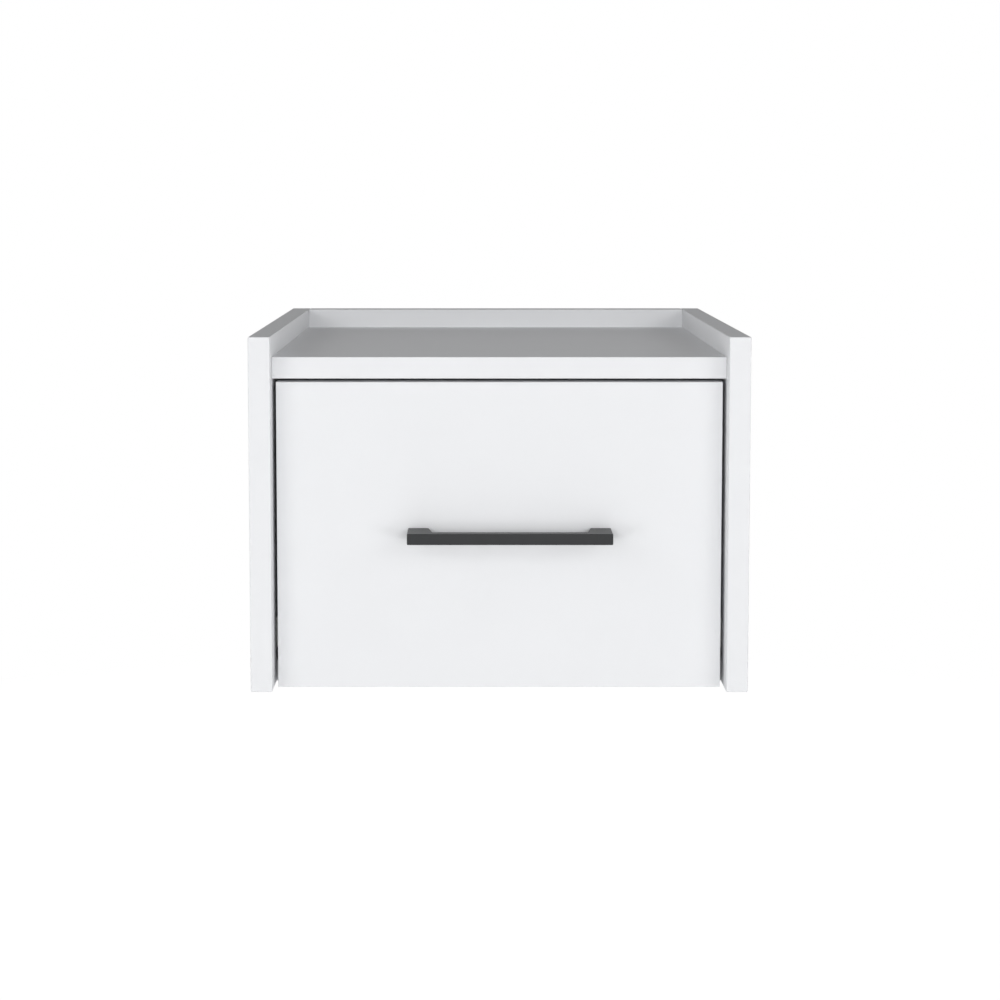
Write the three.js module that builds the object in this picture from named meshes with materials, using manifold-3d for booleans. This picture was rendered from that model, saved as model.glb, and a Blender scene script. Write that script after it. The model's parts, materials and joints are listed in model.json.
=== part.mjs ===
// A wall-hung bedside cabinet with a low gallery round its top and one drawer on roller runners.
// Lengths are millimetres and +Z is up. The wall is the plane Y = 0, the front faces -Y, and X = 0
// is the middle of the width. The pieces are placed from the underside up, and the finished group is
// lowered by half its height, so that the origin is the middle of the rear face.
import * as THREE from "three";
import { mergeVertices } from "three/addons/utils/BufferGeometryUtils.js";
import Module from "manifold-3d";

const wasm = await Module();
wasm.setup();

// Cabinet
const cabinetWidth = 346;
const cabinetHeight = 248;
const cabinetDepth = 300;
const boardThickness = 15;
const galleryRise = 15; // the sides and the back stand this far above the top board
const frontRecess = 13; // the top board and the drawer front lie this far behind the sides' front edges
const boardSeam = 0.1; // hairline where two pieces meet face to face

// Drawer
const frontSideGap = 2.7;
const frontTopGap = 2.4;
const frontRearGap = 0.8; // between the closed drawer front and the bottom board
const drawerBoard = 12;
const drawerLift = 10; // lower edge of the drawer sides above the bottom board
const drawerHeadroom = 53; // upper edge of the drawer sides below the top board
const drawerRearGap = 7; // between the drawer and the back panel
const panelThickness = 3; // the drawer's bottom panel
const panelLift = 12; // the groove's lower face above the lower edge of the drawer sides
const grooveDepth = 5;
const grooveGap = 0.3;

// Handle
const handleSpacing = 128; // between its two screws
const handleEnd = 6.9; // from a screw's axis to the end of the bar
const handleOffset = 7.2; // to the right of the middle
const handleRaise = 1.4; // above the middle of the drawer front
const handleProjection = 22;
const handleBarDepth = 7.5;
const handleBarHeight = 7.7;
const footWidth = 14.5;
const footFlare = 2.8; // a foot is this much wider where it meets the bar
const handleScrewRadius = 2;
const handleScrewBite = 9; // length of the screw in the foot
const handleScrewHeadRadius = 4;
const handleScrewHeadHeight = 2.4;

// Runners
const runnerSpace = 12.5; // between a side panel and the drawer side
const runnerSheet = 1.2;
const runnerOverlap = 60; // length of the drawer runner that stays inside when the drawer is open
const rollerRadius = 9;
const rollerInset = 1.5; // from a roller to the end of its runner and to the flange cut away for it
const rollerChamfer = 0.6;
const runGap = 0.3; // running clearance of a roller
const rollerSideGap = 0.4;
const trackLift = 1; // the cabinet runner's track above the lower edge of the drawer sides
const flangeGap = 2.5; // between the drawer runner's flange and the cabinet runner's upper flange
const flangeLip = 4;
const lipGap = 0.7; // between the lip and the cabinet runner's web
const flangeMargin = 2; // the drawer runner's foot stops this far short of the drawer side's inner face
const axleRadius = 2.5;
const axleGap = 0.3; // between the axle and the roller's bore
const axleHeadRadius = 4;
const axleHeadHeight = 0.8;
const headGap = 0.6; // between an axle head and what passes it
const runnerScrewInset = 37; // from the end of a runner to its screw
const runnerScrewRadius = 1.75;
const runnerScrewLength = 13;
const runnerScrewMargin = 1.5; // between the end of a drawer runner's screw and the groove above it
const runnerScrewHeadRadius = 3.3;
const runnerScrewHeadHeight = 1.6;

// Cam fittings
const camRadius = 7.5;
const camReach = 24; // from the board's end to the middle of the cam
const camInset = 45; // from the board's front or rear edge to the fitting
const camFloor = 0.8; // of the cam under the bolt's head
const camSlotLength = 8;
const camSlotWidth = 1.4;
const camSlotDepth = 1.6;
const boltHeadRadius = 3;
const boltHeadLength = 3;
const boltNeckRadius = 1.8;
const boltNeckLength = 6;
const boltShaftRadius = 3.5;
const boltThreadRadius = 2.8;
const boltThreadLength = 10;

// Wood screws
const backScrewRadius = 2;
const backScrewHeadRadius = 4;
const backScrewLength = 45;
const backScrewSideInset = 58; // from a side panel's inner face
const cornerScrewRadius = 1.75;
const cornerScrewHeadRadius = 3.5;
const cornerScrewLength = 35;
const cornerScrewHeightShares = [0.3, 0.8]; // up the drawer's height

// Hanger plates
const hangerSideInset = 30; // from a side panel's inner face to the middle of a plate
const hangerDrop = 63; // from the top of the back panel to the middle of a plate
const hangerWidth = 30;
const hangerHeight = 56;
const hangerThickness = 2;
const hangerCorner = 4;
const hangerRecess = 0.2; // the plate lies this far inside the rear face
const hangerScrewInset = 6;
const hangerScrewRadius = 1.5;
const hangerScrewHeadRadius = 2.9;
const hangerScrewLength = 12;
const keyholeRadius = 5;
const keyholeSlotWidth = 5;
const keyholeSlotLength = 13;
const keyholeDrop = 7; // from the middle of the plate to the middle of its round hole
const keyholePocketWidth = 12;
const keyholePocketDepth = 8; // behind the plate, for the head of the wall screw

// Clearances and roundness
const headCrownShare = 0.7; // flat top of a pan head, of its radius
const fitGap = 0.3; // round a fastener in its hole
const cutOverrun = 1; // a cut that opens on a face runs this far past it
const mergeTolerance = 1e-4;
const screwSides = 8;
const boreSides = 16;
const rollerSides = 24;
const cornerSegments = 3;

// Places of the boards
const bayHalf = cabinetWidth / 2 - boardThickness;
const boardHalf = bayHalf - boardSeam;
const frontPlane = frontRecess - cabinetDepth;
const drawerPlane = frontPlane + boardThickness;
const bottomFront = drawerPlane + frontRearGap;
const backPlane = -boardThickness;
const topLevel = cabinetHeight - galleryRise;
const topUnder = topLevel - boardThickness;
const drawerHalf = bayHalf - runnerSpace;
const drawerLow = boardThickness + drawerLift;
const drawerTop = topUnder - drawerHeadroom;
const drawerRear = backPlane - drawerRearGap;
const frontTop = topUnder - frontTopGap;
const boardMiddle = boardThickness / 2;

// Places of the runners: heights, depths, and distances from the side panel's inner face
const runnerLength = drawerRear - drawerPlane;
const drawerTravel = runnerLength - runnerOverlap;
const trackLevel = drawerLow + trackLift;
const upperFlange = trackLevel + rollerRadius * 2 + runGap * 2;
const flangeTop = upperFlange - flangeGap;
const flangeUnder = flangeTop - runnerSheet;
const lipLow = flangeTop - flangeLip;
const runnerFoot = drawerLow - boardSeam - runnerSheet;
const footScrewLength = drawerLow + panelLift - runnerScrewMargin - runnerFoot;
const cabinetWeb = boardSeam + runnerSheet;
const drawerWeb = runnerSpace - boardSeam - runnerSheet;
const lipOuter = cabinetWeb + lipGap;
const lipInner = lipOuter + runnerSheet;
const trackEdge = drawerWeb - headGap;
const cabinetRunnerRear = bottomFront + runnerLength;
const cabinetRoller = {
  y: bottomFront + rollerInset + rollerRadius,
  z: flangeUnder - runGap - rollerRadius,
  near: lipInner + rollerSideGap,
  far: drawerWeb - headGap - axleHeadHeight - runGap,
};
const drawerRoller = {
  y: drawerRear - rollerInset - rollerRadius,
  z: trackLevel + runGap + rollerRadius,
  near: cabinetWeb + runnerScrewHeadHeight + headGap + axleHeadHeight + runGap,
  far: drawerWeb - rollerSideGap,
};

// Directions
const toWall = [0, 1, 0];
const toFront = [0, -1, 0];
const toTop = [0, 0, 1];
const toFloor = [0, 0, -1];
const hands = [
  { name: "left", sign: -1 },
  { name: "right", sign: 1 },
];

// Finishes
const melamine = { color: 0xf1f1f3, roughness: 0.45, metalness: 0 };
const hardboard = { color: 0xe9e7e2, roughness: 0.6, metalness: 0 };
const graphite = { color: 0x47484a, roughness: 0.42, metalness: 0.6 };
const enamel = { color: 0xeeeeea, roughness: 0.35, metalness: 0.1 };
const nylon = { color: 0xd9d5c8, roughness: 0.5, metalness: 0 };
const zinc = { color: 0xb9babb, roughness: 0.38, metalness: 0.9 };

// Solids

/** A closed geometry as a solid that can be joined and cut. */
function solid(geometry) {
  const bare = new THREE.BufferGeometry();
  bare.setAttribute("position", geometry.getAttribute("position"));
  bare.setIndex(geometry.index);
  const merged = mergeVertices(bare, mergeTolerance);
  const corners = [];
  for (let i = 0; i < merged.index.count; i += 3) {
    const [a, b, c] = [0, 1, 2].map((k) => merged.index.getX(i + k));
    if (a !== b && b !== c && c !== a) corners.push(a, b, c);
  }
  const vertProperties = merged.getAttribute("position").array;
  const triVerts = new Uint32Array(corners);
  return new wasm.Manifold(new wasm.Mesh({ numProp: 3, vertProperties, triVerts }));
}

/** A piece cut by each of the other solids. */
function cutBy(piece, cuts) {
  return cuts.reduce((left, cut) => left.subtract(cut), piece);
}

/** Several solids joined into one. */
function joined(pieces) {
  return pieces.reduce((sum, piece) => sum.add(piece));
}

/** A box between two values along each axis, in either order. */
function block(xs, ys, zs) {
  const spans = [xs, ys, zs];
  const sizes = spans.map(([from, to]) => Math.abs(to - from));
  const middles = spans.map(([from, to]) => (from + to) / 2);
  return solid(new THREE.BoxGeometry(...sizes).translate(...middles));
}

/** A turned solid: its outline of [radius, distance] pairs runs from a point along a direction. */
function turned(outline, sides, at, direction) {
  const geometry = new THREE.LatheGeometry(outline.map(([r, y]) => new THREE.Vector2(r, y)), sides);
  const aim = new THREE.Quaternion().setFromUnitVectors(
    new THREE.Vector3(...toWall),
    new THREE.Vector3(...direction),
  );
  return solid(geometry.applyQuaternion(aim).translate(...at));
}

/** A round bar from one distance to another along a direction. */
function rod(radius, from, to, sides, at, direction) {
  return turned([[0, from], [radius, from], [radius, to], [0, to]], sides, at, direction);
}

/** A rectangle with round corners, centred on zero, as a flat shape. */
function roundedRectangle(width, height, radius) {
  const [x, y] = [width / 2 - radius, height / 2 - radius];
  const shape = new THREE.Shape();
  const quarter = Math.PI / 2;
  [[x, y], [-x, y], [-x, -y], [x, -y]].forEach(([cx, cy], i) => {
    shape.absarc(cx, cy, radius, i * quarter, (i + 1) * quarter, false);
  });
  return shape;
}

/** A point that lies a distance from the inner face of the left or right side panel. */
function fromSide(hand, distance) {
  return hand.sign * (bayHalf - distance);
}

// Fasteners. Each outline starts at the head's bearing face, and "grow" widens it into its clearance hole.

/** Outline of a countersunk wood screw. */
function countersunkOutline(radius, headRadius, length, grow) {
  const tip = radius * 2;
  return [
    [0, -grow],
    [headRadius + grow, -grow],
    [headRadius + grow, 0],
    [radius + grow, headRadius - radius],
    [radius + grow, length - tip],
    [0, length + grow],
  ];
}

/** Outline of a pan-head screw with a blunt end. */
function panHeadOutline(radius, length, headRadius, headHeight, grow) {
  const crown = headRadius * headCrownShare;
  return [
    [0, -headHeight - grow],
    [crown + grow, -headHeight - grow],
    [headRadius + grow, -headHeight / 2],
    [headRadius + grow, grow],
    [radius + grow, grow],
    [radius + grow, length + grow],
    [0, length + grow],
  ];
}

/** A screw and its hole, made by the same outline. */
function screw(outline, at, direction) {
  return {
    piece: turned(outline(0), screwSides, at, direction),
    hole: turned(outline(fitGap), screwSides, at, direction),
  };
}

const backScrewOutline = (grow) =>
  countersunkOutline(backScrewRadius, backScrewHeadRadius, backScrewLength, grow);
const cornerScrewOutline = (grow) =>
  countersunkOutline(cornerScrewRadius, cornerScrewHeadRadius, cornerScrewLength, grow);
const hangerScrewOutline = (grow) =>
  countersunkOutline(hangerScrewRadius, hangerScrewHeadRadius, hangerScrewLength, grow);
const sideScrewOutline = (grow) =>
  panHeadOutline(runnerScrewRadius, runnerScrewLength, runnerScrewHeadRadius, runnerScrewHeadHeight, grow);
const footScrewOutline = (grow) =>
  panHeadOutline(runnerScrewRadius, footScrewLength, runnerScrewHeadRadius, runnerScrewHeadHeight, grow);
const handleScrewOutline = (grow) =>
  panHeadOutline(
    handleScrewRadius,
    boardThickness + handleScrewBite,
    handleScrewHeadRadius,
    handleScrewHeadHeight,
    grow,
  );

/** Outline of a cam bolt, from its thread's end to its head, with zero where the two boards meet. */
function boltOutline(grow) {
  const headStart = camReach - boltHeadLength + boltHeadRadius;
  const neckStart = headStart - boltNeckLength;
  return [
    [0, -boltThreadLength - grow],
    [boltThreadRadius + grow, -boltThreadLength - grow],
    [boltThreadRadius + grow, -grow],
    [boltShaftRadius + grow, -grow],
    [boltShaftRadius + grow, neckStart + grow],
    [boltNeckRadius + grow, neckStart + grow],
    [boltNeckRadius + grow, headStart - grow],
    [boltHeadRadius + grow, headStart - grow],
    [boltHeadRadius + grow, headStart + boltHeadLength + grow],
    [0, headStart + boltHeadLength + grow],
  ];
}

/**
 * A cam lock and its bolt. "end" is the middle of the board's end, "inward" points from there into
 * the board, "face" points to the board's face that the cam is let into, and "board" is the board's
 * thickness.
 */
function camFitting(end, inward, face, board) {
  const centre = end.map((value, i) => value + inward[i] * camReach);
  const top = board / 2;
  const low = -boltHeadRadius - fitGap - camFloor;
  const bolt = turned(boltOutline(0), boreSides / 2, end, inward);
  const boltHole = turned(boltOutline(fitGap), boreSides / 2, end, inward);
  const slotX = [-camSlotLength / 2, camSlotLength / 2];
  const slotY = [-camSlotWidth / 2, camSlotWidth / 2];
  const slotZ = [top - camSlotDepth, top + cutOverrun];
  const turn = new THREE.Quaternion().setFromUnitVectors(
    new THREE.Vector3(...toTop),
    new THREE.Vector3(...face),
  );
  const settle = new THREE.Matrix4().makeRotationFromQuaternion(turn).setPosition(...centre);
  const slots = joined([block(slotX, slotY, slotZ), block(slotY, slotX, slotZ)]);
  const cross = slots.transform(settle.elements);
  return {
    bolt,
    boltHole,
    cam: cutBy(rod(camRadius, low, top, boreSides, centre, face), [boltHole, cross]),
    camHole: rod(camRadius + fitGap, low - fitGap, top + cutOverrun, boreSides, centre, face),
  };
}

// Places of the fasteners

const topEnds = [frontPlane + camInset, backPlane - camInset];
const topFittings = hands.flatMap((hand) =>
  topEnds.map((y, i) => ({
    hand,
    name: `${hand.name}_${["front", "rear"][i]}`,
    ...camFitting(
      [fromSide(hand, 0), y, topUnder + boardMiddle],
      [-hand.sign, 0, 0],
      toFloor,
      boardThickness,
    ),
  })),
);
const bottomFittings = hands.map((hand) => ({
  hand,
  name: hand.name,
  ...camFitting(
    [fromSide(hand, 0), bottomFront + camInset, boardMiddle],
    [-hand.sign, 0, 0],
    toTop,
    boardThickness,
  ),
}));
const drawerFittings = hands.map((hand) => ({
  hand,
  name: hand.name,
  ...camFitting(
    [fromSide(hand, runnerSpace + drawerBoard / 2), drawerPlane, (drawerLow + drawerTop) / 2],
    toWall,
    [hand.sign, 0, 0],
    drawerBoard,
  ),
}));
const backScrews = hands.flatMap((hand) =>
  [["lower", boardMiddle], ["upper", topUnder + boardMiddle]].map(([level, z]) => ({
    level,
    name: `${hand.name}_${level}`,
    ...screw(backScrewOutline, [fromSide(hand, backScrewSideInset), 0, z], toFront),
  })),
);
const cornerScrews = hands.flatMap((hand) =>
  cornerScrewHeightShares.map((share, i) => ({
    hand,
    name: `${hand.name}_${["lower", "upper"][i]}`,
    ...screw(
      cornerScrewOutline,
      [
        fromSide(hand, runnerSpace),
        drawerRear - drawerBoard / 2,
        THREE.MathUtils.lerp(drawerLow, drawerTop, share),
      ],
      [-hand.sign, 0, 0],
    ),
  })),
);
const cabinetRunnerScrews = hands.flatMap((hand) =>
  [bottomFront + runnerScrewInset, cabinetRunnerRear - runnerScrewInset].map((y, i) => ({
    hand,
    name: `${hand.name}_${["front", "rear"][i]}`,
    ...screw(
      sideScrewOutline,
      [fromSide(hand, cabinetWeb), y, (trackLevel + lipLow) / 2],
      [hand.sign, 0, 0],
    ),
  })),
);
const drawerRunnerScrews = hands.flatMap((hand) =>
  [drawerPlane + runnerScrewInset, drawerRear - runnerScrewInset].map((y, i) => ({
    hand,
    name: `${hand.name}_${["front", "rear"][i]}`,
    ...screw(footScrewOutline, [fromSide(hand, runnerSpace + drawerBoard / 2), y, runnerFoot], toTop),
  })),
);
const handleHeight = frontTop / 2 + handleRaise;
const handleScrews = hands.map((hand) => ({
  name: hand.name,
  ...screw(
    handleScrewOutline,
    [handleOffset + (hand.sign * handleSpacing) / 2, drawerPlane, handleHeight],
    toFront,
  ),
}));
const hangerHeightMiddle = cabinetHeight - hangerDrop;
const hangerScrews = hands.flatMap((hand) =>
  [-1, 1].map((end, i) => ({
    hand,
    name: `${hand.name}_${["lower", "upper"][i]}`,
    ...screw(
      hangerScrewOutline,
      [
        fromSide(hand, hangerSideInset),
        -hangerRecess,
        hangerHeightMiddle + end * (hangerHeight / 2 - hangerScrewInset),
      ],
      toFront,
    ),
  })),
);

const holesOf = (list) => list.map((item) => item.hole);
const ofHand = (list, hand) => list.filter((item) => item.hand === hand);

// Cabinet boards

/** Left or right side panel, drilled for the cam bolts and the runner screws. */
function sidePanel(hand) {
  const xs = [fromSide(hand, 0), fromSide(hand, -boardThickness)];
  const bolts = ofHand([...topFittings, ...bottomFittings], hand).map((fitting) => fitting.boltHole);
  const board = block(xs, [-cabinetDepth, 0], [0, cabinetHeight]);
  return cutBy(board, [...bolts, ...holesOf(ofHand(cabinetRunnerScrews, hand))]);
}

/** Top or bottom board between the sides, with its cam bores and the back panel's screw holes. */
function crossBoard(front, low, fittings, level) {
  const board = block([-boardHalf, boardHalf], [front, backPlane - boardSeam], [low, low + boardThickness]);
  const screws = holesOf(backScrews.filter((item) => item.level === level));
  return cutBy(board, [...fittings.flatMap((item) => [item.camHole, item.boltHole]), ...screws]);
}

/** Hollow in the back panel for a hanger plate, and behind it for the head of the wall screw. */
function hangerPocket(hand) {
  const x = fromSide(hand, hangerSideInset);
  const outline = roundedRectangle(hangerWidth + fitGap * 2, hangerHeight + fitGap * 2, hangerCorner);
  const seat = new THREE.ExtrudeGeometry(outline, {
    depth: hangerThickness + hangerRecess + boardSeam + cutOverrun,
    bevelEnabled: false,
    curveSegments: cornerSegments,
  });
  seat.rotateX(Math.PI / 2).translate(x, cutOverrun, hangerHeightMiddle);
  const half = keyholePocketWidth / 2;
  const holeHeight = hangerHeightMiddle - keyholeDrop;
  const pocket = block(
    [x - half, x + half],
    [-hangerRecess - hangerThickness - keyholePocketDepth, 0],
    [holeHeight - half, holeHeight + keyholeSlotLength + half],
  );
  return [solid(seat), pocket];
}

/** Back panel, with the pockets of the hanger plates and its screw holes. */
function backPanel() {
  const board = block([-boardHalf, boardHalf], [backPlane, 0], [0, cabinetHeight]);
  return cutBy(board, [...hands.flatMap(hangerPocket), ...holesOf([...backScrews, ...hangerScrews])]);
}

/** Steel plate with a keyhole: a round hole that takes the wall screw's head, and a slot above it. */
function hangerPlate(hand) {
  const x = fromSide(hand, hangerSideInset);
  const z = hangerHeightMiddle - keyholeDrop;
  const plate = new THREE.ExtrudeGeometry(roundedRectangle(hangerWidth, hangerHeight, hangerCorner), {
    depth: hangerThickness,
    bevelEnabled: false,
    curveSegments: cornerSegments,
  });
  plate.rotateX(Math.PI / 2).translate(x, -hangerRecess, hangerHeightMiddle);
  const reach = hangerThickness + hangerRecess + cutOverrun;
  const half = keyholeSlotWidth / 2;
  const keyhole = joined([
    rod(keyholeRadius, -cutOverrun, reach, boreSides, [x, 0, z], toFront),
    rod(half, -cutOverrun, reach, boreSides, [x, 0, z + keyholeSlotLength], toFront),
    block([x - half, x + half], [-reach, cutOverrun], [z, z + keyholeSlotLength]),
  ]);
  return cutBy(solid(plate), [keyhole, ...holesOf(ofHand(hangerScrews, hand))]);
}

// Drawer boards

const panelLow = drawerLow + panelLift;
const panelHalf = drawerHalf - drawerBoard + grooveDepth - grooveGap;
const grooveHeights = [panelLow, panelLow + panelThickness + grooveGap * 2];
const drawerBackFront = drawerRear - drawerBoard;

/** Drawer front, with the groove for the bottom panel and the holes of the cam bolts and handle screws. */
function drawerFront() {
  const half = bayHalf - frontSideGap;
  const board = block([-half, half], [frontPlane, drawerPlane], [0, frontTop]);
  const grooveHalf = panelHalf + grooveGap;
  const grooveReach = [drawerPlane - grooveDepth, drawerPlane + cutOverrun];
  const groove = block([-grooveHalf, grooveHalf], grooveReach, grooveHeights);
  const bolts = drawerFittings.map((fitting) => fitting.boltHole);
  return cutBy(board, [groove, ...bolts, ...holesOf(handleScrews)]);
}

/** Left or right drawer side, grooved along its inner face. */
function drawerSide(hand) {
  const inner = runnerSpace + drawerBoard;
  const board = block(
    [fromSide(hand, runnerSpace), fromSide(hand, inner)],
    [drawerPlane + boardSeam, drawerRear],
    [drawerLow, drawerTop],
  );
  const groove = block(
    [fromSide(hand, inner - grooveDepth), fromSide(hand, inner + cutOverrun)],
    [drawerPlane, drawerRear + cutOverrun],
    grooveHeights,
  );
  const fittings = ofHand(drawerFittings, hand).flatMap((item) => [item.camHole, item.boltHole]);
  const screws = ofHand([...cornerScrews, ...drawerRunnerScrews], hand);
  return cutBy(board, [groove, ...fittings, ...holesOf(screws)]);
}

/** Drawer back between the drawer sides, grooved for the bottom panel. */
function drawerBack() {
  const half = drawerHalf - drawerBoard - boardSeam;
  const board = block([-half, half], [drawerBackFront, drawerRear], [drawerLow, drawerTop]);
  const grooveEnd = drawerBackFront + grooveDepth;
  const groove = block(
    [-half - cutOverrun, half + cutOverrun],
    [drawerBackFront - cutOverrun, grooveEnd],
    grooveHeights,
  );
  return cutBy(board, [groove, ...holesOf(cornerScrews)]);
}

/** Thin bottom panel, held in the grooves on all four sides. */
function drawerPanel() {
  const ys = [drawerPlane - grooveDepth + grooveGap, drawerBackFront + grooveDepth - grooveGap];
  const low = panelLow + grooveGap;
  return block([-panelHalf, panelHalf], ys, [low, low + panelThickness]);
}

/** Bar handle: a square bar on two feet that widen towards it. */
function handle() {
  const half = handleSpacing / 2 + handleEnd;
  const barRear = handleBarDepth - handleProjection;
  const outline = [
    [-half, 0],
    [-half, -handleProjection],
    [half, -handleProjection],
    [half, 0],
    [half - footWidth, 0],
    [half - footWidth - footFlare, barRear],
    [footWidth + footFlare - half, barRear],
    [footWidth - half, 0],
  ];
  const shape = new THREE.Shape(outline.map(([x, y]) => new THREE.Vector2(x, y)));
  const body = new THREE.ExtrudeGeometry(shape, { depth: handleBarHeight, bevelEnabled: false });
  body.translate(handleOffset, frontPlane - boardSeam, handleHeight - handleBarHeight / 2);
  return cutBy(solid(body), holesOf(handleScrews));
}

// Runners

/** Cabinet runner: a channel with the rear roller's track, the drawer's stop and the front axle. */
function cabinetRunner(hand) {
  const x = (distance) => fromSide(hand, distance);
  const across = [x(boardSeam), x(trackEdge)];
  const ys = [bottomFront, cabinetRunnerRear];
  const low = trackLevel - runnerSheet;
  const high = upperFlange + runnerSheet;
  const trackFront = cabinetRoller.y + rollerRadius + rollerInset;
  const web = block([x(boardSeam), x(cabinetWeb)], ys, [low, high]);
  const track = block(across, [trackFront, cabinetRunnerRear], [low, trackLevel]);
  const upper = block(across, ys, [upperFlange, high]);
  const stopLow = flangeTop + runGap;
  const stopRise = stopLow - drawerRoller.z;
  const stopReach = Math.sqrt(rollerRadius ** 2 - stopRise ** 2) + runGap;
  const stopRear = drawerRoller.y - drawerTravel - stopReach;
  const stop = block(across, [stopRear - runnerSheet, stopRear], [stopLow, high]);
  const along = [-hand.sign, 0, 0];
  const middle = [fromSide(hand, 0), cabinetRoller.y, cabinetRoller.z];
  const shoulder = cabinetRoller.near - runGap;
  const head = cabinetRoller.far + runGap;
  const axle = turned(
    [
      [0, boardSeam],
      [axleHeadRadius, boardSeam],
      [axleHeadRadius, shoulder],
      [axleRadius, shoulder],
      [axleRadius, head],
      [axleHeadRadius, head],
      [axleHeadRadius, head + axleHeadHeight],
      [0, head + axleHeadHeight],
    ],
    boreSides,
    middle,
    along,
  );
  return cutBy(joined([web, track, upper, stop, axle]), holesOf(ofHand(cabinetRunnerScrews, hand)));
}

/** Drawer runner: a foot under the drawer side, a web, a flange with its lip, and the rear axle. */
function drawerRunner(hand) {
  const x = (distance) => fromSide(hand, distance);
  const ys = [drawerPlane + boardSeam, drawerRear];
  const outer = runnerSpace - boardSeam;
  const flangeEnd = drawerRoller.y - rollerRadius - rollerInset;
  const footEdge = runnerSpace + drawerBoard - flangeMargin;
  const web = block([x(drawerWeb), x(outer)], ys, [runnerFoot, flangeTop]);
  const foot = block([x(drawerWeb), x(footEdge)], ys, [runnerFoot, runnerFoot + runnerSheet]);
  const flange = block([x(lipOuter), x(outer)], [ys[0], flangeEnd], [flangeUnder, flangeTop]);
  const lip = block([x(lipOuter), x(lipInner)], [ys[0], flangeEnd], [lipLow, flangeTop]);
  const middle = [fromSide(hand, 0), drawerRoller.y, drawerRoller.z];
  const head = drawerRoller.near - runGap;
  const axle = turned(
    [
      [0, head - axleHeadHeight],
      [axleHeadRadius, head - axleHeadHeight],
      [axleHeadRadius, head],
      [axleRadius, head],
      [axleRadius, outer],
      [0, outer],
    ],
    boreSides,
    middle,
    [-hand.sign, 0, 0],
  );
  return cutBy(joined([web, foot, flange, lip, axle]), holesOf(ofHand(drawerRunnerScrews, hand)));
}

/** Nylon roller on its axle. */
function roller(hand, place) {
  const bore = axleRadius + axleGap;
  const rim = rollerRadius - rollerChamfer;
  const outline = [
    [bore, place.near],
    [rim, place.near],
    [rollerRadius, place.near + rollerChamfer],
    [rollerRadius, place.far - rollerChamfer],
    [rim, place.far],
    [bore, place.far],
    [bore, place.near],
  ];
  return turned(outline, rollerSides, [fromSide(hand, 0), place.y, place.z], [-hand.sign, 0, 0]);
}

// Assembly

/** One named mesh with its own material. */
function part(name, piece, finish) {
  const { numProp, vertProperties, triVerts } = piece.getMesh();
  const geometry = new THREE.BufferGeometry();
  geometry.setAttribute("position", new THREE.BufferAttribute(vertProperties, numProp));
  geometry.setIndex(new THREE.BufferAttribute(triVerts, 1));
  const mesh = new THREE.Mesh(geometry, new THREE.MeshStandardMaterial({ ...finish, flatShading: true }));
  mesh.name = name;
  return mesh;
}

/** Meshes of a list of fasteners. */
function fasteners(kind, list, key = "piece") {
  return list.map((item) => part(`${kind}_${item.name}`, item[key], zinc));
}

function cabinet() {
  const group = new THREE.Group();
  group.add(
    part("top_board", crossBoard(frontPlane, topUnder, topFittings, "upper"), melamine),
    part("bottom_board", crossBoard(bottomFront, 0, bottomFittings, "lower"), melamine),
    part("back_panel", backPanel(), melamine),
    ...fasteners("top_cam", topFittings, "cam"),
    ...fasteners("top_cam_bolt", topFittings, "bolt"),
    ...fasteners("bottom_cam", bottomFittings, "cam"),
    ...fasteners("bottom_cam_bolt", bottomFittings, "bolt"),
    ...fasteners("back_screw", backScrews),
    ...fasteners("hanger_screw", hangerScrews),
    ...fasteners("cabinet_runner_screw", cabinetRunnerScrews),
  );
  hands.forEach((hand) => {
    group.add(
      part(`side_panel_${hand.name}`, sidePanel(hand), melamine),
      part(`hanger_plate_${hand.name}`, hangerPlate(hand), zinc),
      part(`cabinet_runner_${hand.name}`, cabinetRunner(hand), enamel),
      part(`cabinet_roller_${hand.name}`, roller(hand, cabinetRoller), nylon),
    );
  });
  return group;
}

function drawer() {
  const group = new THREE.Group();
  group.add(
    part("drawer_front", drawerFront(), melamine),
    part("drawer_back", drawerBack(), melamine),
    part("drawer_bottom", drawerPanel(), hardboard),
    part("handle", handle(), graphite),
    ...fasteners("handle_screw", handleScrews),
    ...fasteners("drawer_cam", drawerFittings, "cam"),
    ...fasteners("drawer_cam_bolt", drawerFittings, "bolt"),
    ...fasteners("drawer_corner_screw", cornerScrews),
    ...fasteners("drawer_runner_screw", drawerRunnerScrews),
  );
  hands.forEach((hand) => {
    group.add(
      part(`drawer_side_${hand.name}`, drawerSide(hand), melamine),
      part(`drawer_runner_${hand.name}`, drawerRunner(hand), enamel),
      part(`drawer_roller_${hand.name}`, roller(hand, drawerRoller), nylon),
    );
  });
  return group;
}

const nightstand = new THREE.Group();
nightstand.add(cabinet(), drawer());
nightstand.position.z = -cabinetHeight / 2;

export default nightstand;
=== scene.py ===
"""Wall-hung bedside cabinet with one drawer: the finish of every piece, a plain studio and the camera.

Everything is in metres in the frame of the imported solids: the wall is the plane Y = 0, the front faces -Y and
+Z is up. Sizes that a maker would quote are written in millimetres and turned to metres by MM.
"""
import json
import logging
import math
from collections.abc import Iterator, Sequence
from contextlib import contextmanager
from dataclasses import dataclass, field, replace
from enum import Enum
from functools import cached_property

import bpy
from mathutils import Matrix, Vector


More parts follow.
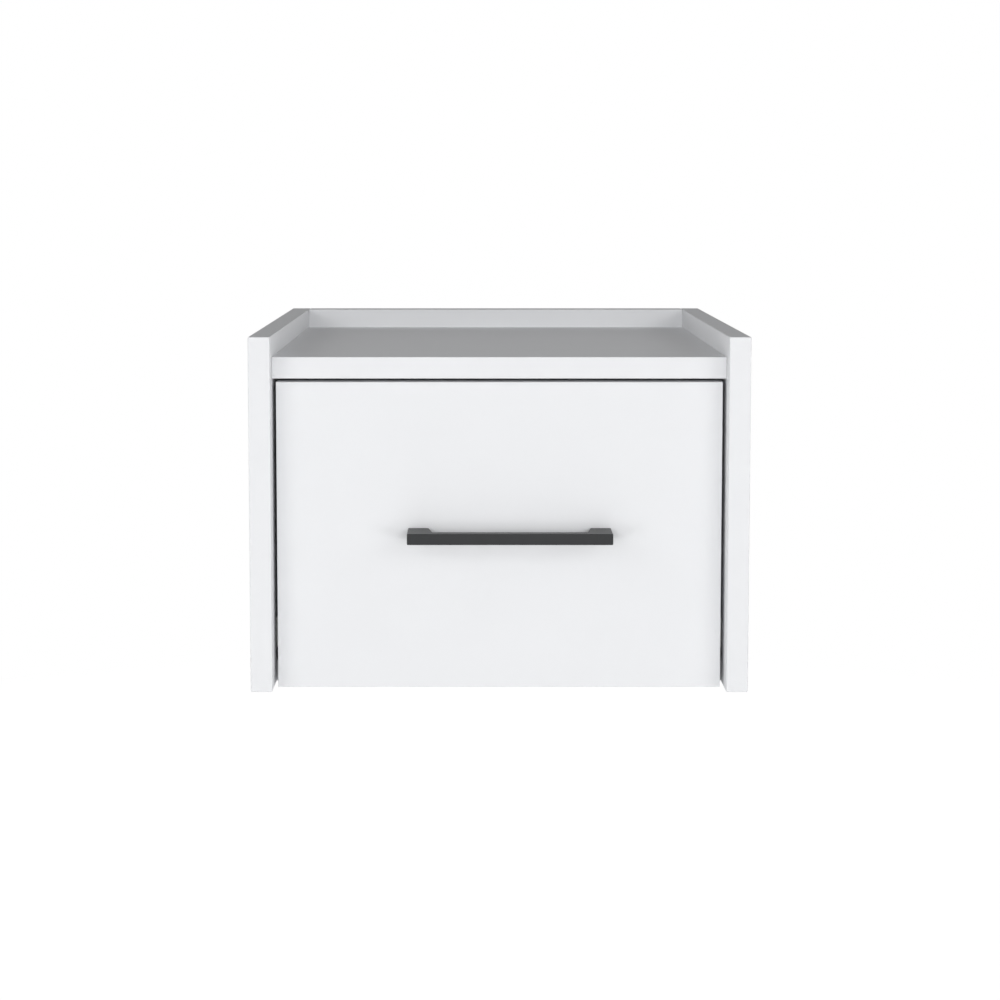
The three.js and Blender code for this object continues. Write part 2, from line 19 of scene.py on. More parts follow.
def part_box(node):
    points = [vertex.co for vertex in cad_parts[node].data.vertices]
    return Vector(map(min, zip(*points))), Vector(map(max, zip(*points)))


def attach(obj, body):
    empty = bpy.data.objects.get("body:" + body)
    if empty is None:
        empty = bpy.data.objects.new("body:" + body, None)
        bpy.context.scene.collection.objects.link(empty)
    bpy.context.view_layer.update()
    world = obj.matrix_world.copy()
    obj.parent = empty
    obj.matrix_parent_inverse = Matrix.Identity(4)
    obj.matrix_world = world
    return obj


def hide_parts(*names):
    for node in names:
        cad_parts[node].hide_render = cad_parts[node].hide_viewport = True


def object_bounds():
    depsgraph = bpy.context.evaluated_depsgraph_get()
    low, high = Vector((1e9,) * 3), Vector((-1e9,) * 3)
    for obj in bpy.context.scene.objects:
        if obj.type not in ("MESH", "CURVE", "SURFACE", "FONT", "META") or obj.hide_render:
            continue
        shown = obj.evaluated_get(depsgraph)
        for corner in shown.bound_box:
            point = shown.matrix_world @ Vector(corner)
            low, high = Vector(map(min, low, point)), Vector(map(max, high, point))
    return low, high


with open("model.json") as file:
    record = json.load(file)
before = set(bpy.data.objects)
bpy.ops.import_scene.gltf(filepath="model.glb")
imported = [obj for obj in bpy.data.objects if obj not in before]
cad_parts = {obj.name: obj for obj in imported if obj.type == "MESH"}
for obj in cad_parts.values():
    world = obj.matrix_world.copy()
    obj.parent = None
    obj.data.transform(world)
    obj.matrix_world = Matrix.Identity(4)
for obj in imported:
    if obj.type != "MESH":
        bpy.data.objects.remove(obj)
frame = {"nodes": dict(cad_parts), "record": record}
CAD_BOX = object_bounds()

LOG = logging.getLogger("nightstand")
MM = 0.001
TOUCH = 0.00002  # points closer than this to a plane lie on it
MERGE = TOUCH / 4  # corners of loose triangles that are closer than this are one point
SLIVER = TOUCH / 2  # points of a rounding that are closer than this are one point
FLAT_DEGREES = 0.5  # faces that meet at less than this are one flat face
Outline = Sequence[tuple[float, float]]


class Way(Enum):
    """The six directions that a board's faces look in."""

    LEFT = (-1, 0, 0)
    RIGHT = (1, 0, 0)
    FRONT = (0, -1, 0)
    REAR = (0, 1, 0)
    DOWN = (0, 0, -1)
    UP = (0, 0, 1)

    @property
    def vector(self) -> Vector:
        """The direction as a unit vector."""
        return Vector(self.value)

    def depth(self, point: Vector, box: tuple[Vector, Vector]) -> float:
        """Measure how far a point lies inside a box, from the face that looks this way.

        Args:
            point: The point to measure.
            box: The lowest and highest corner of the box.

        Returns:
            The distance in metres, zero on the face.
        """
        low, high = box
        corner = Vector([high[i] if self.value[i] > 0 else low[i] for i in range(3)])
        return (corner - point).dot(self.vector)


HANDS = {"left": Way.LEFT, "right": Way.RIGHT}
SIDEWAYS = (Way.LEFT, Way.RIGHT)
LENGTHWAYS = (Way.FRONT, Way.REAR)
UPRIGHT = (Way.DOWN, Way.UP)


def sided(pattern: str) -> list[str]:
    """List the left and the right node of a name in which {} stands for the hand."""
    return [pattern.format(hand) for hand in HANDS]


class Surface(Enum):
    """The surfaces of a faced board, in the order of its material slots."""

    FACE = 0
    BAND = 1
    CORE = 2


class Head(Enum):
    """How the head of a screw is shaped."""

    COUNTERSUNK = "countersunk"
    PAN = "pan"


# Colours and shader nodes


def linear(colour: str) -> tuple[float, float, float, float]:
    """Turn an sRGB colour into the linear one that Blender's sockets take.

    Args:
        colour: Six hex digits.

    Returns:
        Linear red, green, blue and an alpha of one.
    """
    values = [int(colour[i:i + 2], 16) / 255 for i in (0, 2, 4)]
    red, green, blue = [v / 12.92 if v <= 0.04045 else ((v + 0.055) / 1.055) ** 2.4 for v in values]
    return red, green, blue, 1.0


def per_metre(size_mm: float) -> float:
    """The texture scale at which one feature is as wide as the given size in millimetres."""
    return 1 / (size_mm * MM)


def empty_tree(owner: bpy.types.Material | bpy.types.World) -> bpy.types.NodeTree:
    """Switch a material or a world to nodes, and take out those that it starts with.

    Args:
        owner: The material or world.

    Returns:
        Its empty node tree.
    """
    owner.use_nodes = True
    tree = owner.node_tree
    tree.nodes.clear()
    return tree


def add_node(
    tree: bpy.types.NodeTree,
    kind: str,
    settings: dict[str | int, object] | None = None,
) -> bpy.types.Node:
    """Add one shader node.

    Args:
        tree: The node tree that it goes into.
        kind: The node's Blender type name.
        settings: What its inputs take, by name or number, either a value or the socket that feeds them. Where
            no input has a name, the node's property of that name is set.

    Returns:
        The new node.
    """
    node = tree.nodes.new(kind)
    for name, value in (settings or {}).items():
        if isinstance(value, bpy.types.NodeSocket):
            tree.links.new(value, node.inputs[name])
        elif isinstance(name, int) or name in node.inputs:
            node.inputs[name].default_value = value
        else:
            setattr(node, name, value)
    return node


# The colour sockets of a Mix node go by number, because its other sockets have the same names
MIX_COLOURS = (6, 7)
MIX_RESULT = 2


# Finishes


@dataclass(frozen=True)
class Recipe:
    """A material that is being built: its node tree, its Principled shader and its coordinates."""

    tree: bpy.types.NodeTree
    shader: bpy.types.Node
    place: bpy.types.NodeSocket

    def noise(self, size_mm: float, detail: float = 2.0) -> bpy.types.NodeSocket:
        """Add a pattern of soft patches.

        Args:
            size_mm: Width of a patch.
            detail: How much finer structure a patch has.

        Returns:
            The pattern, from zero to one.
        """
        patches = add_node(self.tree, "ShaderNodeTexNoise", {
            "Scale": per_metre(size_mm), "Detail": detail, "Vector": self.place})
        return patches.outputs["Fac"]

    def mottle(self, colour: str, other: str, size_mm: float) -> None:
        """Let the base colour drift towards another one in soft patches.

        Args:
            colour: The base colour, as hex digits.
            other: The other colour.
            size_mm: Width of a patch.
        """
        first, second = MIX_COLOURS
        tint = add_node(self.tree, "ShaderNodeMix", {
            "data_type": "RGBA", first: linear(colour), second: linear(other), "Factor": self.noise(size_mm)})
        self.tree.links.new(tint.outputs[MIX_RESULT], self.shader.inputs["Base Color"])

    def relief(self, height: bpy.types.NodeSocket, depth_mm: float) -> None:
        """Raise and lower the surface by a pattern.

        Args:
            height: The pattern, from zero to one.
            depth_mm: Height of its peaks.
        """
        bump = add_node(self.tree, "ShaderNodeBump", {"Distance": depth_mm * MM, "Height": height})
        self.tree.links.new(bump.outputs["Normal"], self.shader.inputs["Normal"])

    def wear(self, pattern: bpy.types.NodeSocket, spread: float) -> None:
        """Let the roughness vary with a pattern, by an equal amount up and down.

        Args:
            pattern: The pattern, from zero to one.
            spread: The most that it adds or takes away.
        """
        roughness = self.shader.inputs["Roughness"]
        low, high = roughness.default_value - spread, roughness.default_value + spread
        spot = add_node(self.tree, "ShaderNodeMapRange", {"To Min": low, "To Max": high, "Value": pattern})
        self.tree.links.new(spot.outputs["Result"], roughness)


@dataclass(frozen=True)
class Finish:
    """A finish: its base colour and gloss, and a pattern that a subclass adds."""

    name: str
    colour: str
    roughness: float
    metallic: float = 0.0
    specular: float = 0.5

    @cached_property
    def material(self) -> bpy.types.Material:
        """The node material of this finish, built at its first use.

        It reads Object coordinates, so that its pattern has a real size.
        """
        material = bpy.data.materials.new(self.name)
        tree = empty_tree(material)
        shader = add_node(tree, "ShaderNodeBsdfPrincipled", {
            "Base Color": linear(self.colour),
            "Roughness": self.roughness,
            "Metallic": self.metallic,
            "Specular IOR Level": self.specular,
        })
        add_node(tree, "ShaderNodeOutputMaterial", {"Surface": shader.outputs["BSDF"]})
        place = add_node(tree, "ShaderNodeTexCoord").outputs["Object"]
        self.pattern(Recipe(tree, shader, place))
        return material

    def pattern(self, recipe: Recipe) -> None:
        """Add what varies over the surface. A plain finish adds nothing.

        Args:
            recipe: The material that is being built.
        """


@dataclass(frozen=True)
class FineSkin(Finish):
    """A skin whose colour drifts faintly, with a fine grain in its relief and its gloss."""

    drift: str = "FFFFFF"
    drift_mm: float = 25.0
    grain_mm: float = 2.2
    grain_depth_mm: float = 0.012
    gloss_spread: float = 0.05

    def pattern(self, recipe: Recipe) -> None:
        """Add the drift of the colour and the grain.

        Args:
            recipe: The material that is being built.
        """
        recipe.mottle(self.colour, self.drift, self.drift_mm)
        grain = recipe.noise(self.grain_mm, detail=1.0)
        recipe.relief(grain, self.grain_depth_mm)
        recipe.wear(grain, self.gloss_spread)


@dataclass(frozen=True)
class PressedMelamine(FineSkin):
    """Melamine paper pressed on particle board by a steel plate, with an even sheen and a fine pearl."""

    drift_mm: float = 70.0
    grain_mm: float = 1.4  # the real pearl is about 0.5 mm, drawn coarser so that it shows
    grain_depth_mm: float = 0.018
    gloss_spread: float = 0.04


@dataclass(frozen=True)
class SprayedCoat(FineSkin):
    """A coat baked on metal or board: powder or enamel that has flowed into a low orange peel."""


@dataclass(frozen=True)
class ParticleCore(Finish):
    """Raw particle board where it is bored or grooved: pale wood flakes with darker ones between them."""

    flake_colours: tuple[str, str, str] = ("8A6C45", "C4A677", "DCC69C")
    middle_stop: float = 0.35  # share of the flakes that are darker than the middle colour
    flake_mm: float = 2.4
    flake_depth_mm: float = 0.15

    def pattern(self, recipe: Recipe) -> None:
        """Add the flakes.

        Args:
            recipe: The material that is being built.
        """
        tree = recipe.tree
        flakes = add_node(
            tree, "ShaderNodeTexVoronoi", {"Scale": per_metre(self.flake_mm), "Vector": recipe.place})
        shade = add_node(tree, "ShaderNodeSeparateColor", {"Color": flakes.outputs["Color"]})
        ramp = add_node(tree, "ShaderNodeValToRGB", {"Fac": shade.outputs["Red"]})
        stops = ramp.color_ramp.elements
        dark, middle, pale = (linear(colour) for colour in self.flake_colours)
        stops[0].color = dark
        stops[1].color = pale
        stops.new(self.middle_stop).color = middle
        tree.links.new(ramp.outputs["Color"], recipe.shader.inputs["Base Color"])
        recipe.relief(flakes.outputs["Distance"], self.flake_depth_mm)


@dataclass(frozen=True)
class ScreenedHardboard(Finish):
    """The rough side of hardboard: brown fibre with the print of the wire screen that it was pressed on."""

    drift: str = "8B6A48"
    drift_mm: float = 9.0
    screen_mm: float = 1.6
    screen_depth_mm: float = 0.08
    slack: float = 0.3  # how far the wires wander

    def pattern(self, recipe: Recipe) -> None:
        """Add the fibre's drift and the screen's crossed wires.

        Args:
            recipe: The material that is being built.
        """
        recipe.mottle(self.colour, self.drift, self.drift_mm)
        warp, weft = (
            add_node(recipe.tree, "ShaderNodeTexWave", {
                "bands_direction": across,
                "Scale": per_metre(self.screen_mm) / math.tau,
                "Distortion": self.slack,
                "Vector": recipe.place,
            }).outputs["Fac"]
            for across in ("X", "Y"))
        crossed = add_node(recipe.tree, "ShaderNodeMath", {"operation": "MULTIPLY", 0: warp, 1: weft})
        recipe.relief(crossed.outputs["Value"], self.screen_depth_mm)


@dataclass(frozen=True)
class MouldedNylon(Finish):
    """Natural nylon from a mould: creamy, a little see-through at thin edges, with a dull skin."""

    drift: str = "D6D0BD"
    drift_mm: float = 5.0
    glow: float = 0.25
    glow_mm: float = 1.2

    def pattern(self, recipe: Recipe) -> None:
        """Add the drift of the colour and the light that spreads under the skin.

        Args:
            recipe: The material that is being built.
        """
        recipe.mottle(self.colour, self.drift, self.drift_mm)
        recipe.shader.inputs["Subsurface Weight"].default_value = self.glow
        recipe.shader.inputs["Subsurface Scale"].default_value = self.glow_mm * MM


@dataclass(frozen=True)
class PlatedZinc(Finish):
    """Bright zinc on steel, or a zinc casting: its gloss changes in small crystals or rolled streaks."""

    drift: str = "C4C6C8"
    drift_share: float = 2.0  # width of a patch of one colour, in crystals
    crystal_mm: float = 1.5
    streak: float = 1.0  # how many times longer than wide a crystal is, along X
    crystal_depth_mm: float = 0.01
    gloss_spread: float = 0.12

    def pattern(self, recipe: Recipe) -> None:
        """Add the crystals to the colour, the gloss and the relief.

        Args:
            recipe: The material that is being built.
        """
        drawn = add_node(
            recipe.tree, "ShaderNodeMapping", {"Scale": (1 / self.streak, 1, 1), "Vector": recipe.place})
        recipe = replace(recipe, place=drawn.outputs["Vector"])
        recipe.mottle(self.colour, self.drift, self.crystal_mm * self.drift_share)
        crystals = recipe.noise(self.crystal_mm)
        recipe.relief(crystals, self.crystal_depth_mm)
        recipe.wear(crystals, self.gloss_spread)


# Particle board faced with melamine paper, pressed on a steel plate: a cool white with a dull, even sheen
MELAMINE = PressedMelamine("white_melamine_pearl", "E9EAEC", roughness=0.7, specular=0.1, drift="E6E7E9")
# ABS edge band, glued on and scraped round: the same white, without the pearl
EDGE_BAND = SprayedCoat(
    "white_edge_band", "E9EAEC", roughness=0.8, specular=0.02, drift="E6E7E9", grain_depth_mm=0.006)
# Sawn and bored particle board: matt flakes of pale wood with darker ones between them
CORE = ParticleCore("raw_particle_board", "C4A677", roughness=0.9)
# Hardboard, roller-coated on its smooth side: a warmer white that shines a little more than melamine
LACQUER = SprayedCoat("white_lacquered_hardboard", "E9E7E2", roughness=0.5, drift="E3E1DB")
# The rough side of the same hardboard: brown and matt, with the print of a wire screen
FIBRE = ScreenedHardboard("brown_screened_hardboard", "7C5B3B", roughness=0.85)
# Cast zinc alloy under graphite powder coat: nearly black, with soft broad lights along its edges
GRAPHITE = SprayedCoat(
    "graphite_powder_coat", "262729", roughness=0.36, specular=0.27, drift="2A2B2C", grain_mm=1.2)
# Folded steel under baked white enamel: smooth, glossy and a little warm
ENAMEL = SprayedCoat("white_runner_enamel", "EDEDE8", roughness=0.3, drift="E7E7E1")
# Natural nylon, injection moulded: cream, satin, and soft in its shadows
NYLON = MouldedNylon("natural_nylon", "E2DDCE", roughness=0.42)
# Steel screws and bolts with bright zinc plate: a cool metal with a fine glitter
ZINC = PlatedZinc("bright_zinc_plate", "B9BCBF", roughness=0.32, metallic=1.0)
# Die-cast zinc: a greyer, duller metal than plate
CAST_ZINC = PlatedZinc("cast_zinc_cam", "A4A6A8", roughness=0.5, metallic=1.0, drift="B4B5B6", crystal_mm=0.9)
# Zinc-plated steel strip, rolled and stamped: streaks of gloss along the strip
SHEET_ZINC = PlatedZinc("rolled_zinc_plate", "AEB1B4", roughness=0.36, metallic=1.0, streak=14.0)


# Modelling


def pick(piece: bpy.types.Object) -> None:
    """Select one piece alone and make it the active one.

    Args:
        piece: The mesh object.
    """
    bpy.ops.object.select_all(action="DESELECT")
    piece.select_set(True)
    bpy.context.view_layer.objects.active = piece


def bake(piece: bpy.types.Object) -> bpy.types.Object:
    """Put a piece's place, turn and size into its mesh.

    Args:
        piece: The mesh object.

    Returns:
        The same piece.
    """
    pick(piece)
    bpy.ops.object.transform_apply(location=True, rotation=True, scale=True)
    return piece


@contextmanager
def editing(piece: bpy.types.Object) -> Iterator[None]:
    """Open one piece in edit mode, alone and with all of it selected.

    Args:
        piece: The mesh object to shape.
    """
    pick(piece)
    bpy.ops.object.mode_set(mode="EDIT")
    bpy.ops.mesh.select_all(action="SELECT")
    yield
    bpy.ops.object.mode_set(mode="OBJECT")


def finish_with(piece: bpy.types.Object, kind: str, **settings: object) -> None:
    """Add a modifier to a piece and apply it.

    Args:
        piece: The mesh object.
        kind: The modifier's Blender type name.
        settings: The modifier's properties.
    """
    pick(piece)
    modifier = piece.modifiers.new(kind.lower(), kind)
    for name, value in settings.items():
        setattr(modifier, name, value)
    bpy.ops.object.modifier_apply(modifier=modifier.name)


def smooth(piece: bpy.types.Object, angle: float = 36.0) -> None:
    """Shade the rounded stretches of a piece smooth and keep its flat faces flat.

    Args:
        piece: The mesh object.
        angle: Edges sharper than this many degrees stay sharp.
    """
    pick(piece)
    bpy.ops.object.shade_smooth_by_angle(angle=math.radians(angle))
    finish_with(piece, "WEIGHTED_NORMAL", keep_sharp=True)


def merged_copy(node: str, made: str) -> bpy.types.Object:
    """Copy a CAD node and merge its loose triangles into whole flat faces.

    Args:
        node: The node's name.
        made: How the piece is made, which ends the copy's name.

    Returns:
        The copy, in place.
    """
    name = f"{node}_{made}"
    piece = bpy.data.objects.new(name, frame["nodes"][node].data.copy())
    piece.data.name = name
    bpy.context.scene.collection.objects.link(piece)
    with editing(piece):
        bpy.ops.mesh.remove_doubles(threshold=MERGE)
        bpy.ops.mesh.dissolve_limited(angle_limit=math.radians(FLAT_DEGREES))
    return piece


def keep_inside(piece: bpy.types.Object, box: tuple[Vector, Vector]) -> None:
    """Put back what the rounding of a corner has pushed out of a box.

    Args:
        piece: The mesh object.
        box: The lowest and highest corner of the box.
    """
    low, high = box
    for vertex in piece.data.vertices:
        vertex.co = [min(max(value, low[i]), high[i]) for i, value in enumerate(vertex.co)]


def turned(name: str, outline: Outline, sides: int = 32, bored: bool = False) -> bpy.types.Object:
    """Turn a solid on the Z axis: one ring is extruded and scaled from point to point of its outline.

    Args:
        name: The new piece's name.
        outline: Pairs of radius and height in millimetres, from the start to the end.
        sides: Number of flats round it.
        bored: True where the outline closes on itself round a bore, and False where both ends are flat.

    Returns:
        The new mesh object.
    """
    radius, height = outline[0]
    bpy.ops.mesh.primitive_circle_add(
        vertices=sides, radius=radius * MM, location=(0, 0, height * MM),
        fill_type="NOTHING" if bored else "NGON")
    piece = bake(bpy.context.object)
    piece.name = name
    with editing(piece):
        for next_radius, next_height in outline[1:]:
            rise = (next_height - height) * MM
            bpy.ops.mesh.extrude_region_move(TRANSFORM_OT_translate={"value": (0, 0, rise)})
            share = next_radius / radius
            bpy.ops.transform.resize(value=(share, share, 1), center_override=(0, 0, next_height * MM))
            radius, height = next_radius, next_height
        bpy.ops.mesh.select_all(action="SELECT")
        bpy.ops.mesh.remove_doubles(threshold=MERGE)
        bpy.ops.mesh.normals_make_consistent(inside=False)
    return piece


def cut_away(piece: bpy.types.Object, cutter: bpy.types.Object) -> None:
    """Cut one solid out of another and remove the cutter.

    Args:
        piece: The solid that is cut.
        cutter: The solid that is taken away.
    """
    finish_with(piece, "BOOLEAN", operation="DIFFERENCE", solver="EXACT", object=cutter)
    bpy.data.objects.remove(cutter)


def cut_cross(piece: bpy.types.Object, length_mm: float, width_mm: float, depth_mm: float) -> None:
    """Cut a cross for a driver into the end of a piece that lies at height zero.

    Args:
        piece: The piece, modelled round the Z axis.
        length_mm: Length of each arm from tip to tip.
        width_mm: Width of an arm.
        depth_mm: Depth of the cross.
    """
    for size in ((length_mm, width_mm), (width_mm, length_mm)):
        bpy.ops.mesh.primitive_cube_add(size=1, scale=Vector((*size, depth_mm * 2)) * MM)
        cut_away(piece, bake(bpy.context.object))


@dataclass(frozen=True)
class Stand:
    """Where a piece stands: where its zero comes, and where its Z and X axes come to point."""

    place: Vector
    along: Vector
    aside: Vector


def settle(piece: bpy.types.Object, stand: Stand) -> None:
    """Turn a piece, move it, and put both into its mesh.

    Args:
        piece: The piece, modelled round the Z axis.
        stand: Where it comes to stand.
    """
    turn = Matrix((stand.aside, stand.along.cross(stand.aside), stand.along)).transposed()
    piece.matrix_world = Matrix.Translation(stand.place) @ turn.to_4x4()
    bake(piece)


def dress(piece: bpy.types.Object, *finishes: Finish) -> None:
    """Give a piece its finishes in place of the materials that it has.

    Args:
        piece: The mesh object.
        finishes: Its finishes, in the order of its slots.
    """
    piece.data.materials.clear()
    for finish in finishes:
        piece.data.materials.append(finish.material)


def stand_in(piece: bpy.types.Object, node: str) -> None:
    """Seat a finished piece: it rides on its node's body and is shown in its place.

    Args:
        piece: The finished piece.
        node: The CAD node that it stands for.
    """
    record = frame["record"]
    body = next(name for name, nodes in record["behaviour"]["bodies"].items() if node in nodes)
    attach(piece, body)
    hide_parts(node)
    LOG.info("%s stands for %s and rides on %s", piece.name, node, body)


def end_of(node: str, way: Vector) -> Vector:
    """Find the middle of the end of a node's box that looks a way.

    Args:
        node: The node's name.
        way: That way, as a unit vector along an axis.

    Returns:
        The point.
    """
    low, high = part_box(node)
    return (low + high) / 2 + way * abs((high - low).dot(way)) / 2


def seat_copies(
    master: bpy.types.Object,
    made: str,
    finish: Finish,
    stands: dict[str, Stand],
) -> None:
    """Dress a piece, seat a copy of it at each of its nodes, and remove the piece itself.

    Args:
        master: The piece, modelled round the Z axis.
        made: How the pieces are made, which ends their names.
        finish: Their finish.
        stands: Where each node's copy stands.
    """
    dress(master, finish)
    for node, stand in stands.items():
        piece = master.copy()
        piece.data = master.data.copy()
        piece.name = f"{node}_{made}"
        bpy.context.scene.collection.objects.link(piece)
        settle(piece, stand)
        smooth(piece)
        stand_in(piece, node)
    bpy.data.objects.remove(master)


def seat_bevelled(
    nodes: list[str],
    made: str,
    round_mm: float,
    finish: Finish,
    segments: int = 2,
    angle: float = 40.0,
) -> None:
    """Copy CAD nodes, round every edge that is sharper than an angle, and dress and seat the copies.

    Args:
        nodes: The names of the nodes.
        made: How the pieces are made, which ends their names.
        round_mm: Radius of the rounding.
        finish: Their finish.
        segments: Steps of the rounding.
        angle: The least angle between two faces, in degrees, at which their edge is rounded.
    """
    for node in nodes:
        piece = merged_copy(node, made)
        finish_with(
            piece, "BEVEL", width=round_mm * MM, segments=segments, limit_method="ANGLE",
            angle_limit=math.radians(angle), use_clamp_overlap=True, miter_outer="MITER_ARC")
        with editing(piece):
            bpy.ops.mesh.remove_doubles(threshold=SLIVER)
        keep_inside(piece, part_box(node))
        smooth(piece)
        dress(piece, finish)
        stand_in(piece, node)


# Boards


@dataclass
class Board:
    """One faced board: rounded where it is banded, with a fine arris elsewhere, and raw where it is cut."""

    node: str
    broad: tuple[Way, ...]  # where its faced sides look
    banded: tuple[Way, ...]  # where its banded edges look
    round_mm: float = 0.7
    arris_mm: float = 0.2
    segments: int = 4
    facing: float = 0.02  # least cosine between a polygon and the way that it counts as looking
    finishes: tuple[Finish, ...] = (MELAMINE, EDGE_BAND, CORE)  # in the order of the surfaces

    def build(self) -> None:
        """Model the board on its CAD node and seat it."""
        board = merged_copy(self.node, "banded")
        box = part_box(self.node)
        self._weigh_edges(board, box)
        finish_with(
            board, "BEVEL", width=self.round_mm * MM, segments=self.segments, limit_method="WEIGHT",
            use_clamp_overlap=False)
        keep_inside(board, box)
        dress(board, *self.finishes)
        for polygon in board.data.polygons:
            polygon.material_index = self._surface(polygon, box).value
        smooth(board)
        stand_in(board, self.node)

    def _weigh_edges(self, board: bpy.types.Object, box: tuple[Vector, Vector]) -> None:
        """Weigh the edges of the board's box: fully beside a band, and by the arris elsewhere.

        Args:
            board: The board, before its bevel.
            box: The lowest and highest corner of its node.
        """
        mesh = board.data
        weights = mesh.attributes.new("bevel_weight_edge", "FLOAT", "EDGE")
        for edge in mesh.edges:
            ends = [mesh.vertices[i].co for i in edge.vertices]
            faces = [way for way in Way if all(abs(way.depth(end, box)) < TOUCH for end in ends)]
            if len(faces) == 2:
                beside_band = any(way in self.banded for way in faces)
                weights.data[edge.index].value = 1.0 if beside_band else self.arris_mm / self.round_mm

    def _surface(self, polygon: bpy.types.MeshPolygon, box: tuple[Vector, Vector]) -> Surface:
        """Tell which surface of the board a polygon belongs to, from where it lies and looks.

        Args:
            polygon: The polygon.
            box: The lowest and highest corner of the board's node.

        Returns:
            Its surface, which is the core where it is bored or grooved.
        """
        shallow = [
            way for way in Way
            if polygon.normal.dot(way.vector) > self.facing
            and way.depth(polygon.center, box) < self.round_mm * MM
        ]
        if any(way in self.banded for way in shallow):
            return Surface.BAND
        if any(way in self.broad for way in shallow):
            return Surface.FACE
        return Surface.CORE


# Fasteners


THREAD_ROOT = 0.72  # radius between two threads, in radii of the thread
THREAD_GROOVE = (0.35, 0.65)  # where the groove between two threads lies, in pitches


def thread(radius: float, pitch: float, start: float, turns: int) -> Outline:
    """Draw a thread as rings, from its first crest to its last.

    Args:
        radius: Radius of the crests.
        pitch: Distance from crest to crest.
        start: Height of the first crest.
        turns: Number of grooves.

    Returns:
        The outline of the thread.
    """
    rings = [(radius, start)]
    for turn in range(turns):
        crest = start + turn * pitch
        rings += [(radius * THREAD_ROOT, crest + pitch * share) for share in THREAD_GROOVE]
        rings.append((radius, crest + pitch))
    return rings


@dataclass
class Fastener:
    """A plated screw with a cross recess. Its length and head are read from its CAD node.

    The shares give the shape of its head and its tip in radii.
    """

    head: Head
    into: Vector
    shank_mm: float
    pitch_mm: float
    head_mm: float = 0.0
    rim_mm: float = 0.12
    sides: int = 24
    recess_width_mm: float = 1.1
    recess_depth_mm: float = 1.3
    recess_share: float = 1.25
    pan_shares: Outline = ((0.62, 0.0), (0.86, 0.18), (1.0, 0.55), (1.0, 1.0))
    tip_share: float = 2.0
    point_share: float = 0.12

    def outline(self, head_radius: float, length: float) -> Outline:
        """Draw the screw from the top of its head to its tip.

        Args:
            head_radius: Radius of the head in millimetres.
            length: Length of the whole screw in millimetres.

        Returns:
            Its outline, with zero at the top of the head and the tip at positive heights.
        """
        shank, pitch = self.shank_mm, self.pitch_mm
        if self.head is Head.COUNTERSUNK:
            under, tip = head_radius - shank, shank * self.tip_share
            points = [(head_radius - self.rim_mm, 0.0), (head_radius, self.rim_mm), (shank, under)]
        else:
            under, tip = self.head_mm, pitch
            points = [(head_radius * across, under * down) for across, down in self.pan_shares]
            points.append((shank, under))
        start = under + shank
        points += thread(shank, pitch, start, int((length - tip - start) / pitch))
        points.append((shank * THREAD_ROOT, length - tip + pitch * self.point_share))
        points.append((shank * self.point_share, length))
        return points

    def build(self, nodes: list[str]) -> None:
        """Model the screw once and copy it to each of its nodes.

        Args:
            nodes: The CAD nodes of screws of this kind, all of one size.
        """
        axis = max(range(3), key=lambda i: abs(self.into[i]))
        low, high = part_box(nodes[0])
        length = (high - low)[axis] / MM
        head_radius = (high - low)[(axis + 1) % 3] / 2 / MM
        master = turned("screw_master", self.outline(head_radius, length), self.sides)
        cut_cross(master, head_radius * self.recess_share, self.recess_width_mm, self.recess_depth_mm)
        aside = Way.UP.vector.cross(self.into) if axis != 2 else Way.RIGHT.vector
        seat_copies(master, "threaded", ZINC, {
            node: Stand(end_of(node, -self.into), self.into, aside) for node in nodes
        })


@dataclass(frozen=True)
class Seat:
    """Where a cam lies: its node, where its face looks, and where its bolt comes from."""

    node: str
    outward: Way
    bolt: Way

    @property
    def bolt_node(self) -> str:
        """The node of the bolt that the cam draws on."""
        return self.node.replace("cam_", "cam_bolt_")


